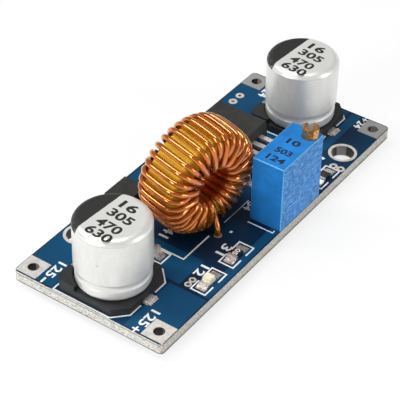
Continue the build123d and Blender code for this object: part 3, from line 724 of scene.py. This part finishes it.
def lens_finish():
    """Cast resin lens, milky yellow from the phosphor inside."""
    finish = Finish(
        "lamp_lens", coat_weight=0.4, coat_roughness=0.08, subsurface_weight=0.25,
        subsurface_radius=(0.4 * MM, 0.4 * MM, 0.3 * MM))
    cloud = finish.noise(finish.place(), 2.5, detail=3)
    finish.set(base_color=finish.blend(cloud, LENS_DEEP, LENS_PALE))
    finish.set(roughness=cloud * 0.1 + 0.22)
    finish.relief(cloud, 0.02)
    return finish.material


# Mesh work


def piece(name, mesh, body, material):
    """Puts a mesh in the scene as one piece that rides on a body."""
    thing = bpy.data.objects.new(name, mesh)
    bpy.context.scene.collection.objects.link(thing)
    mesh.materials.append(material)
    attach(thing, body)
    return thing


def cover(material, *nodes):
    """Gives one finish to solids of the frame."""
    for node in nodes:
        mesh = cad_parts[node].data
        mesh.materials.clear()
        mesh.materials.append(material)


def add_line(work, points, width, height):
    """Adds a flat printed line with mitred corners, through points in millimetres."""
    route = [Vector(p) for p in points]
    rings = []
    for i, point in enumerate(route):
        near = route[max(i - 1, 0):i + 2]
        arms = [(b - a).normalized() for a, b in zip(near, near[1:])]
        along = sum(arms, Vector((0, 0))).normalized()
        across = Vector((-along.y, along.x))
        mitre = max(0.3, across.dot(Vector((-arms[0].y, arms[0].x))))
        reach = width / 2 / mitre
        left, right = point + across * reach, point - across * reach
        low_z, high_z = BOARD_TOP, BOARD_TOP + height
        corners = [(left, low_z), (right, low_z), (right, high_z), (left, high_z)]
        rings.append([work.verts.new((p.x * MM, p.y * MM, z)) for p, z in corners])
    for first, second in zip(rings, rings[1:]):
        for k in range(4):
            work.faces.new((first[k], first[(k + 1) % 4], second[(k + 1) % 4], second[k]))
    work.faces.new(rings[0][::-1])
    work.faces.new(rings[-1])


def add_words(work, text, centre, size, turn, base, height, weight=0.02):
    """Adds raised lettering that fills a width and a height in millimetres."""
    curve = bpy.data.curves.new("lettering", "FONT")
    curve.body = text
    curve.offset = weight
    curve.extrude = 0.5
    curve.resolution_u = 4
    maker = bpy.data.objects.new("lettering", curve)
    bpy.context.scene.collection.objects.link(maker)
    bpy.context.view_layer.update()
    made = maker.evaluated_get(bpy.context.evaluated_depsgraph_get())
    mesh = bpy.data.meshes.new_from_object(made)
    bpy.data.objects.remove(maker)
    bpy.data.curves.remove(curve)
    xs = [v.co.x for v in mesh.vertices]
    ys = [v.co.y for v in mesh.vertices]
    wide, tall = max(xs) - min(xs), max(ys) - min(ys)
    centring = Matrix.Translation((-(max(xs) + min(xs)) / 2, -(max(ys) + min(ys)) / 2, 0.5))
    scaling = Matrix.Diagonal((size[0] * MM / wide, size[1] * MM / tall, height, 1))
    placing = Matrix.Translation((centre[0] * MM, centre[1] * MM, base))
    mesh.transform(placing @ Matrix.Rotation(math.radians(turn), 4, "Z") @ scaling @ centring)
    work.from_mesh(mesh)
    bpy.data.meshes.remove(mesh)


def add_stamp(work, text, centre, size, turn, surface, weight=FIGURE_WEIGHT):
    """Adds stamped figures to a surface at a height in metres."""
    base = surface - FIGURE_SINK
    add_words(work, text, centre, size, turn, base, FIGURE_THICKNESS, weight)


def finished_mesh(work, name):
    """Turns a working mesh into a finished one whose faces look outwards."""
    bmesh.ops.recalc_face_normals(work, faces=work.faces)
    mesh = bpy.data.meshes.new(name)
    work.to_mesh(mesh)
    work.free()
    return mesh


def capacitor_outline(work, x, line, height):
    """Printed outline round a capacitor base, open at its two terminals."""
    half, end, gap = 5.45, 5.28, 1.45
    corner_x, corner_y = 3.6, -3.5
    for side in (-1, 1):
        points = [
            (x + side * gap, -end), (x + side * corner_x, -end), (x + side * half, corner_y),
            (x + side * half, end), (x + side * gap, end),
        ]
        add_line(work, points, line, height)


def chip_outline(work, node, line, height, across=False):
    """Printed box round a chip, open at the middle of its long sides."""
    centre = middle(node) / MM
    long, short, gap = 2.35, 1.08, 0.55
    for side in (-1, 1):
        points = [(gap, short), (long, short), (long, -short), (gap, -short)]
        points = [(side * u, v) for u, v in points]
        if across:
            points = [(v, u) for u, v in points]
        add_line(work, [(centre.x + u, centre.y + v) for u, v in points], line, height)


def wire_route(settings):
    """The wire's centre line: front lead, each turn, back lead, in metres."""
    core = middle("inductor_core")
    wire = settings.diameter
    foot, above = low("inductor_winding").z, BOARD_TOP + wire
    radius = WINDING_RADIUS * MM
    yaw, lean = settings.yaw, settings.lean
    normal = Vector((
        math.cos(lean) * math.sin(yaw), -math.cos(lean) * math.cos(yaw), -math.sin(lean)))
    across = Vector((math.cos(yaw), math.sin(yaw), 0))
    up = normal.cross(across)
    solder = [v.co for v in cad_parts["inductor_solder"].data.vertices]
    front = [p for p in solder if p.y < core.y]
    back = [p for p in solder if p.y > core.y]
    ends = [sum(group, Vector()) / len(group) for group in (front, back)]

    def turn(layer):
        bore = (BORE_RADIUS - layer * BORE_STEP) * MM
        face = (FACE_OFFSET + layer * FACE_STEP) * MM
        bend = wire * (0.75 + layer / 4)
        return [
            (radius, RIM_OFFSET * MM), (radius - wire / 2, SHOULDER_OFFSET * MM),
            (radius - FLANK_DROP * MM, FLANK_OFFSET * MM),
            (bore + bend, face), (bore, face - bend),
        ]

    def place(distance, angle, offset):
        out = across * distance * math.cos(angle)
        return core + out + up * distance * math.sin(angle) + normal * offset

    route = [Vector((ends[0].x, ends[0].y, foot)), Vector((ends[0].x, ends[0].y, above))]
    for i in range(settings.turns):
        angle = settings.start - i * settings.pitch
        profile = turn(i % 2)
        into = profile[2:] if i == 0 else profile
        out = profile[2:] if i == settings.turns - 1 else profile
        route += [place(r, angle, offset) for r, offset in into]
        route += [place(r, angle - settings.pitch, -offset) for r, offset in reversed(out)]
    return route + [Vector((ends[1].x, ends[1].y, above)), Vector((ends[1].x, ends[1].y, foot))]


def rounded(route, rounds):
    """Cuts a route's corners again and again until it bends like wire."""
    for _ in range(rounds):
        softer = [route[0]]
        for first, second in zip(route, route[1:]):
            softer += [first.lerp(second, 0.25), first.lerp(second, 0.75)]
        route = softer + [route[-1]]
    return route


def tube(work, route, radius, sides):
    """Sweeps a circle along a route, carrying its frame so that it doesn't twist."""
    along = (route[1] - route[0]).normalized()
    side = along.orthogonal().normalized()
    rings = []
    for i, point in enumerate(route):
        ahead = route[min(i + 1, len(route) - 1)] - route[max(i - 1, 0)]
        ahead.normalize()
        side = (side - ahead * side.dot(ahead)).normalized()
        other = ahead.cross(side)
        ring = []
        for k in range(sides):
            angle = 2 * math.pi * k / sides
            corner = point + side * radius * math.cos(angle) + other * radius * math.sin(angle)
            ring.append(work.verts.new(corner))
        rings.append(ring)
    for first, second in zip(rings, rings[1:]):
        for k in range(sides):
            work.faces.new((first[k], first[(k + 1) % sides], second[(k + 1) % sides], second[k]))
    work.faces.new(rings[0][::-1])
    work.faces.new(rings[-1])


# Operators


class MODULE_OT_board(bpy.types.Operator):
    """Finish the circuit board, its lands and its print"""
    bl_idname = "module.board"
    bl_label = "Circuit board"

    def execute(self, context):
        settings = context.scene.module_board
        cover(mask_finish(settings), "circuit_board")
        lands = [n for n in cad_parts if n.endswith("_pad") or "plating" in n]
        cover(land_finish(context.scene.module_packages), *lands, "plated_vias")
        line, height = settings.line_width / MM, settings.print_height
        work = bmesh.new()
        for x in (-CAN_X / MM, CAN_X / MM):
            capacitor_outline(work, x, line, height)
        for node in ("led_body", "led_resistor_body", "feedback_resistor_body"):
            chip_outline(work, node, line, height)
        chip_outline(work, "ceramic_capacitor_body", line, height, across=True)
        for points, share in PRINT_LINES:
            add_line(work, points, line * share, height)
        for points, width in PRINT_DASHES:
            add_line(work, points, width, height)
        for text, place, size in BOARD_FIGURES:
            add_words(work, text, place, size, 180, BOARD_TOP, height)
        mesh = finished_mesh(work, "board_print")
        piece("board_print", mesh, "board", print_finish())
        return {"FINISHED"}


class MODULE_OT_capacitors(bpy.types.Operator):
    """Finish the capacitors and print the figures on their tops"""
    bl_idname = "module.capacitors"
    bl_label = "Capacitors"

    def execute(self, context):
        settings = context.scene.module_capacitors
        cover(can_finish(settings), "input_capacitor_can", "output_capacitor_can")
        black = moulding_finish("base_moulding", BASE_BLACK, 0.42, 0.02)
        cover(black, "input_capacitor_base", "output_capacitor_base")
        ink = ink_finish("can_figures", settings.band, 8.0, 2.0, 0.4)
        turn = settings.print_turn
        for name, x in (("input", CAN_X / MM), ("output", -CAN_X / MM)):
            work = bmesh.new()
            for text, forward, sideways, width in CAN_FIGURES:
                centre = Vector((x, 0)) + Matrix.Rotation(turn, 2) @ Vector((forward, sideways))
                size = (width, settings.digit_height / MM)
                add_stamp(work, text, centre, size, math.degrees(turn) - 90, CAN_TOP)
            mesh = finished_mesh(work, f"{name}_can_figures")
            piece(f"{name}_can_figures", mesh, "board", ink)
        return {"FINISHED"}


class MODULE_OT_winding(bpy.types.Operator):
    """Coat the ring core and wind the round wire in place of its six-sided solid"""
    bl_idname = "module.winding"
    bl_label = "Inductor"

    def execute(self, context):
        settings = context.scene.module_winding
        cover(core_finish(settings), "inductor_core")
        work = bmesh.new()
        tube(work, rounded(wire_route(settings), 3), settings.diameter / 2, settings.sides)
        mesh = finished_mesh(work, "round_wire")
        mesh.shade_smooth()
        wire = piece("round_wire", mesh, "board", wire_finish(settings))
        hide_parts("inductor_winding")
        return {"FINISHED"}


class MODULE_OT_packages(bpy.types.Operator):
    """Finish the regulator, the diode, the chips, the leads and the solder"""
    bl_idname = "module.packages"
    bl_label = "Regulator, diode and chips"

    def execute(self, context):
        settings = context.scene.module_packages
        black = moulding_finish("package_moulding", settings.moulding, 0.5, 0.03)
        cover(black, "regulator_body", "diode_body")
        metal = [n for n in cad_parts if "_lead_" in n or "_terminal" in n]
        metal += [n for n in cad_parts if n.endswith("_end_caps")]
        metal += ["regulator_tab", "diode_anode", "diode_cathode"]
        cover(tin_finish("tinned_lead", settings, 0.16, 0.80), *metal)
        cover(solder_finish(settings), *[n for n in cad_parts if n.endswith("_solder")])
        glaze = ceramic_finish("resistor_glaze", GLAZE_BLACK, 0.25, gloss=0.6)
        cover(glaze, "led_resistor_body", "feedback_resistor_body")
        brown = ceramic_finish("capacitor_ceramic", CAPACITOR_BROWN, 0.4)
        cover(brown, "ceramic_capacitor_body")
        cover(ceramic_finish("lamp_carrier", CARRIER_WHITE, 0.4), "led_body")
        cover(lens_finish(), "led_lens")
        lowest, highest = low("led_resistor_body"), high("led_resistor_body")
        chip = (highest - lowest) / MM
        centre = middle("led_resistor_body") / MM
        size = (chip.x * 0.6, chip.y * 0.55)
        work = bmesh.new()
        add_stamp(work, "05", centre, size, 180, highest.z, weight=0.02)
        mesh = finished_mesh(work, "resistor_figures")
        piece("resistor_figures", mesh, "board", print_finish())
        return {"FINISHED"}


class MODULE_OT_trimmer(bpy.types.Operator):
    """Finish the trimmer, its screw and what is inside it"""
    bl_idname = "module.trimmer"
    bl_label = "Trimmer"

    def execute(self, context):
        settings = context.scene.module_trimmer
        cover(trimmer_finish(settings), "trimmer_housing")
        cover(brass_finish(settings), "adjusting_screw")
        cover(rubber_finish(), "trimmer_o_ring")
        cover(moulding_finish("sealing_resin", RESIN_BLUE, 0.5, 0.03), "trimmer_base")
        cover(moulding_finish("wheel_moulding", WHEEL_WHITE, 0.45, 0.01), "worm_wheel")
        cover(ceramic_finish("element_ceramic", ELEMENT_WHITE, 0.45), "resistor_element")
        cover(ceramic_finish("track_film", TRACK_BLACK, 0.5), "resistor_track")
        cover(spring_finish(), "trimmer_wiper")
        pins = [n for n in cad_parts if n.startswith("trimmer_pin")]
        cover(tin_finish("trimmer_pin_tin", context.scene.module_packages, 0.2, 0.8), *pins)
        work = bmesh.new()
        line = TRIMMER_LOW.y / MM + TRIMMER_FIGURE_LINE
        for text, x, width in TRIMMER_FIGURES:
            size = (width, TRIMMER_FIGURE_HEIGHT)
            add_stamp(work, text, (x, line), size, -90, TRIMMER_HIGH.z)
        mesh = finished_mesh(work, "trimmer_figures")
        ink = ink_finish("trimmer_ink", settings.ink, 7.0, 1.8, 0.35)
        piece("trimmer_figures", mesh, "board", ink)
        return {"FINISHED"}


class MODULE_OT_stage(bpy.types.Operator):
    """Lay the floor, hang the lights and set the camera at the photograph's angle"""
    bl_idname = "module.stage"
    bl_label = "Stage"

    def execute(self, context):
        settings = context.scene.module_stage
        self.floor(settings)
        self.surround(context, settings)
        self.light("overhead", (-0.05, 0.12, 0.42), settings.key_power, width=0.08, length=0.50)
        self.light("output_side", (-0.41, 0.08, 0.20), settings.side_power, width=0.12, length=0.20)
        self.light("front", (0.12, -0.40, 0.16), settings.front_power, width=0.14, length=0.20)
        self.camera(context)
        return {"FINISHED"}

    def floor(self, settings):
        """A round floor whose rim rises, so that low views see no horizon."""
        size, rise, sides = settings.floor_size, 0.6, 48
        steps = [(size, 0.0)]
        steps += [
            (size + rise * math.sin(a), rise * (1 - math.cos(a))) for a in (0.3, 0.6, 0.9, 1.2)]
        ground = CAD_BOUNDS[0][2]
        turns = [2 * math.pi * k / sides for k in range(sides)]
        work = bmesh.new()
        rings = []
        for radius, up in steps:
            points = [(radius * math.cos(a), radius * math.sin(a), ground + up) for a in turns]
            rings.append([work.verts.new(p) for p in points])
        work.faces.new(rings[0])
        for inner, outer in zip(rings, rings[1:]):
            for k in range(sides):
                after = (k + 1) % sides
                work.faces.new((inner[k], inner[after], outer[after], outer[k]))
        mesh = finished_mesh(work, "floor")
        mesh.materials.append(self.paper())
        floor = bpy.data.objects.new("floor", mesh)
        bpy.context.scene.collection.objects.link(floor)

    def paper(self):
        """White paper that looks white to the camera and in reflections, and keeps shadows."""
        finish = Finish(
            "floor_paper", base_color=FLOOR_WHITE, roughness=0.85, specular_ior_level=0.1)
        kinds = ("Is Camera Ray", "Is Glossy Ray", "Is Transmission Ray")
        rays = [finish.add("ShaderNodeLightPath", output=kind) for kind in kinds]
        seen = rays[0].maths("MAXIMUM", rays[1]).maths("MAXIMUM", rays[2])
        glow = finish.add("ShaderNodeEmission", {"Color": (1, 1, 1), "Strength": 1.0})
        lit = Wire(finish, finish.shader.outputs[0])
        both = finish.add("ShaderNodeMixShader", {0: seen * 0.8, 1: lit, 2: glow})
        finish.feed(finish.output.inputs["Surface"], both)
        return finish.material

    def surround(self, context, settings):
        """A plain white surround of low strength."""
        world = bpy.data.worlds.new("surround")
        world.use_nodes = True
        context.scene.world = world
        sky = world.node_tree.nodes["Background"]
        sky.inputs["Color"].default_value = (1, 1, 1, 1)
        sky.inputs["Strength"].default_value = settings.world_strength

    def light(self, name, place, power, width, length):
        """Hangs a rectangular lamp that faces the object."""
        lamp = bpy.data.lights.new(name, "AREA")
        lamp.shape = "RECTANGLE"
        lamp.energy = power
        lamp.size = width
        lamp.size_y = length
        holder = bpy.data.objects.new(name, lamp)
        holder.location = place
        holder.rotation_euler = (-Vector(place)).to_track_quat("-Z", "Y").to_euler()
        bpy.context.scene.collection.objects.link(holder)

    def camera(self, context):
        """The camera at the photograph's viewing angle."""
        lens = bpy.data.cameras.new("camera")
        lens.lens = CAMERA_LENS
        lens.sensor_width = 36
        lens.clip_start = 0.01
        lens.clip_end = 10
        holder = bpy.data.objects.new("camera", lens)
        azimuth, elevation, roll = (math.radians(v) for v in CAMERA_TURNS)
        back = Vector((
            math.sin(azimuth) * math.cos(elevation), -math.cos(azimuth) * math.cos(elevation),
            math.sin(elevation)))
        right = Vector((0, 0, 1)).cross(back).normalized()
        up = back.cross(right)
        turned_right = right * math.cos(roll) + up * math.sin(roll)
        turned_up = up * math.cos(roll) - right * math.sin(roll)
        turn = Matrix((turned_right, turned_up, back)).transposed().to_4x4()
        holder.matrix_world = Matrix.Translation(CAMERA_PLACE) @ turn
        context.scene.collection.objects.link(holder)
        context.scene.camera = holder
        context.scene.view_settings.view_transform = "Standard"


class MODULE_PT_panel(bpy.types.Panel):
    bl_idname = "MODULE_PT_panel"
    bl_label = "Converter module"
    bl_space_type = "VIEW_3D"
    bl_region_type = "UI"
    bl_category = "Converter"

    def draw(self, context):
        for operator in OPERATORS:
            self.layout.operator(operator.bl_idname)
        for name in SETTINGS:
            group = getattr(context.scene, name)
            box = self.layout.box()
            for key in group.bl_rna.properties.keys():
                if key not in ("rna_type", "name"):
                    box.prop(group, key)


OPERATORS = [
    MODULE_OT_board, MODULE_OT_capacitors, MODULE_OT_winding, MODULE_OT_packages,
    MODULE_OT_trimmer, MODULE_OT_stage,
]
SETTINGS = {
    "module_board": BoardSettings,
    "module_capacitors": CapacitorSettings,
    "module_winding": WindingSettings,
    "module_trimmer": TrimmerSettings,
    "module_packages": PackageSettings,
    "module_stage": StageSettings,
}


def register():
    for group in SETTINGS.values():
        bpy.utils.register_class(group)
    for operator in OPERATORS:
        bpy.utils.register_class(operator)
    bpy.utils.register_class(MODULE_PT_panel)
    for name, group in SETTINGS.items():
        setattr(bpy.types.Scene, name, PointerProperty(type=group))


def unregister():
    for name in SETTINGS:
        delattr(bpy.types.Scene, name)
    bpy.utils.unregister_class(MODULE_PT_panel)
    for operator in reversed(OPERATORS):
        bpy.utils.unregister_class(operator)
    for group in SETTINGS.values():
        bpy.utils.unregister_class(group)


def main():
    register()
    bpy.ops.module.board()
    bpy.ops.module.capacitors()
    bpy.ops.module.winding()
    bpy.ops.module.packages()
    bpy.ops.module.trimmer()
    bpy.ops.module.stage()


if __name__ == "__main__":
    main()
